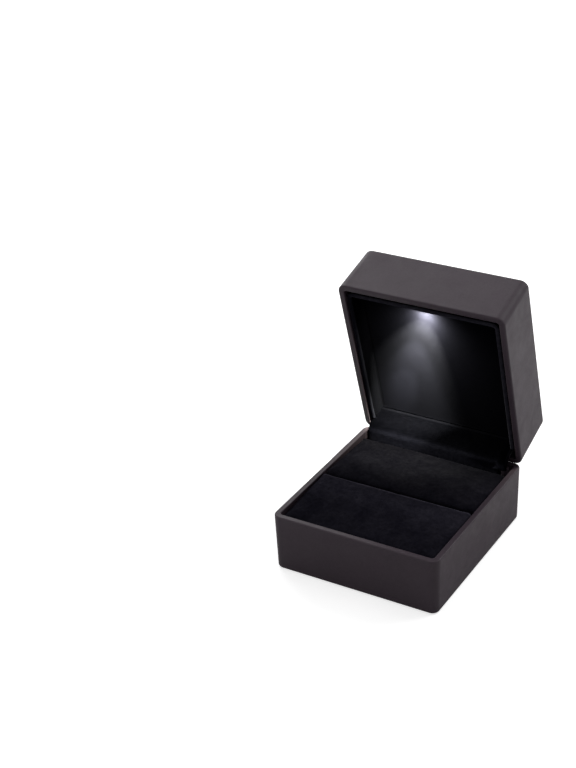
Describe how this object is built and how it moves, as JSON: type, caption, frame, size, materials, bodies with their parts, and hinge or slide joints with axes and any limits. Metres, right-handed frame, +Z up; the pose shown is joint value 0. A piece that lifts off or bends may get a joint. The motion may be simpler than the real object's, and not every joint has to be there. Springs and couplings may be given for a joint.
{
  "type": "ring display box",
  "caption": "Hinged ring box with a hipped lid that stands open, a light in the lid and two velvet cushions with a ring slit.",
  "frame": {"origin": "centre of the base's underside, on the table", "axes": "+X to the right across the box, +Y from its front to its hinge, +Z up"},
  "size_m": [0.06, 0.0892, 0.0881],
  "materials": {
    "shell_plastic": "soft-touch satin coat",
    "velvet": "short-pile velvet",
    "flock": "flocked",
    "foam": "open-cell foam",
    "board": "pressed card",
    "steel": "plated",
    "cell_steel": "bright",
    "green_board": "solder mask",
    "black_plastic": "moulded",
    "contact_metal": "plated",
    "led": "phosphor",
    "lens": "clear",
    "wire_red": "insulation",
    "wire_black": "insulation"
  },
  "bodies": {
    "base": {"base_shell": "shell_plastic", "cushion_board": "board", "foam_front": "foam", "foam_rear": "foam", "velvet_front": "velvet", "velvet_rear": "velvet", "hinge_leaf_base": "steel", "hinge_pin": "steel", "hinge_cover": "velvet", "snap_spring": "steel"},
    "lid": {"lid_shell": "shell_plastic", "lid_liner": "flock", "hinge_leaf_lid": "steel", "circuit_board": "green_board", "board_screws": "steel", "battery_holder": "black_plastic", "coin_cell": "cell_steel", "contact_top": "contact_metal", "contact_bottom": "contact_metal", "led_board": "green_board", "led_chip": "led", "led_lens": "lens", "led_wires": "wire_red", "switch_housing": "black_plastic", "switch_wires": "wire_black", "switch_spring": "steel"},
    "plunger": {"switch_plunger": "black_plastic"}
  },
  "joints": [
    {"name": "lid_hinge", "type": "hinge", "parent": "base", "child": "lid", "pos_m": [0, 0.0322, 0.02073], "axis": [-1, 0, 0], "range_deg": [-74.5, 0], "deforming": ["hinge_cover", "snap_spring"]},
    {"name": "plunger_slide", "type": "slide", "parent": "lid", "child": "plunger", "axis": [0, 0.9636, 0.2672], "range_m": [0, 0.0012], "stiffness_N_per_m": 15, "deforming": ["switch_spring"]}
  ],
  "couplings": [
    {"joint": "plunger_slide", "follows": "lid_hinge", "m_per_rad": -0.000922}
  ]
}
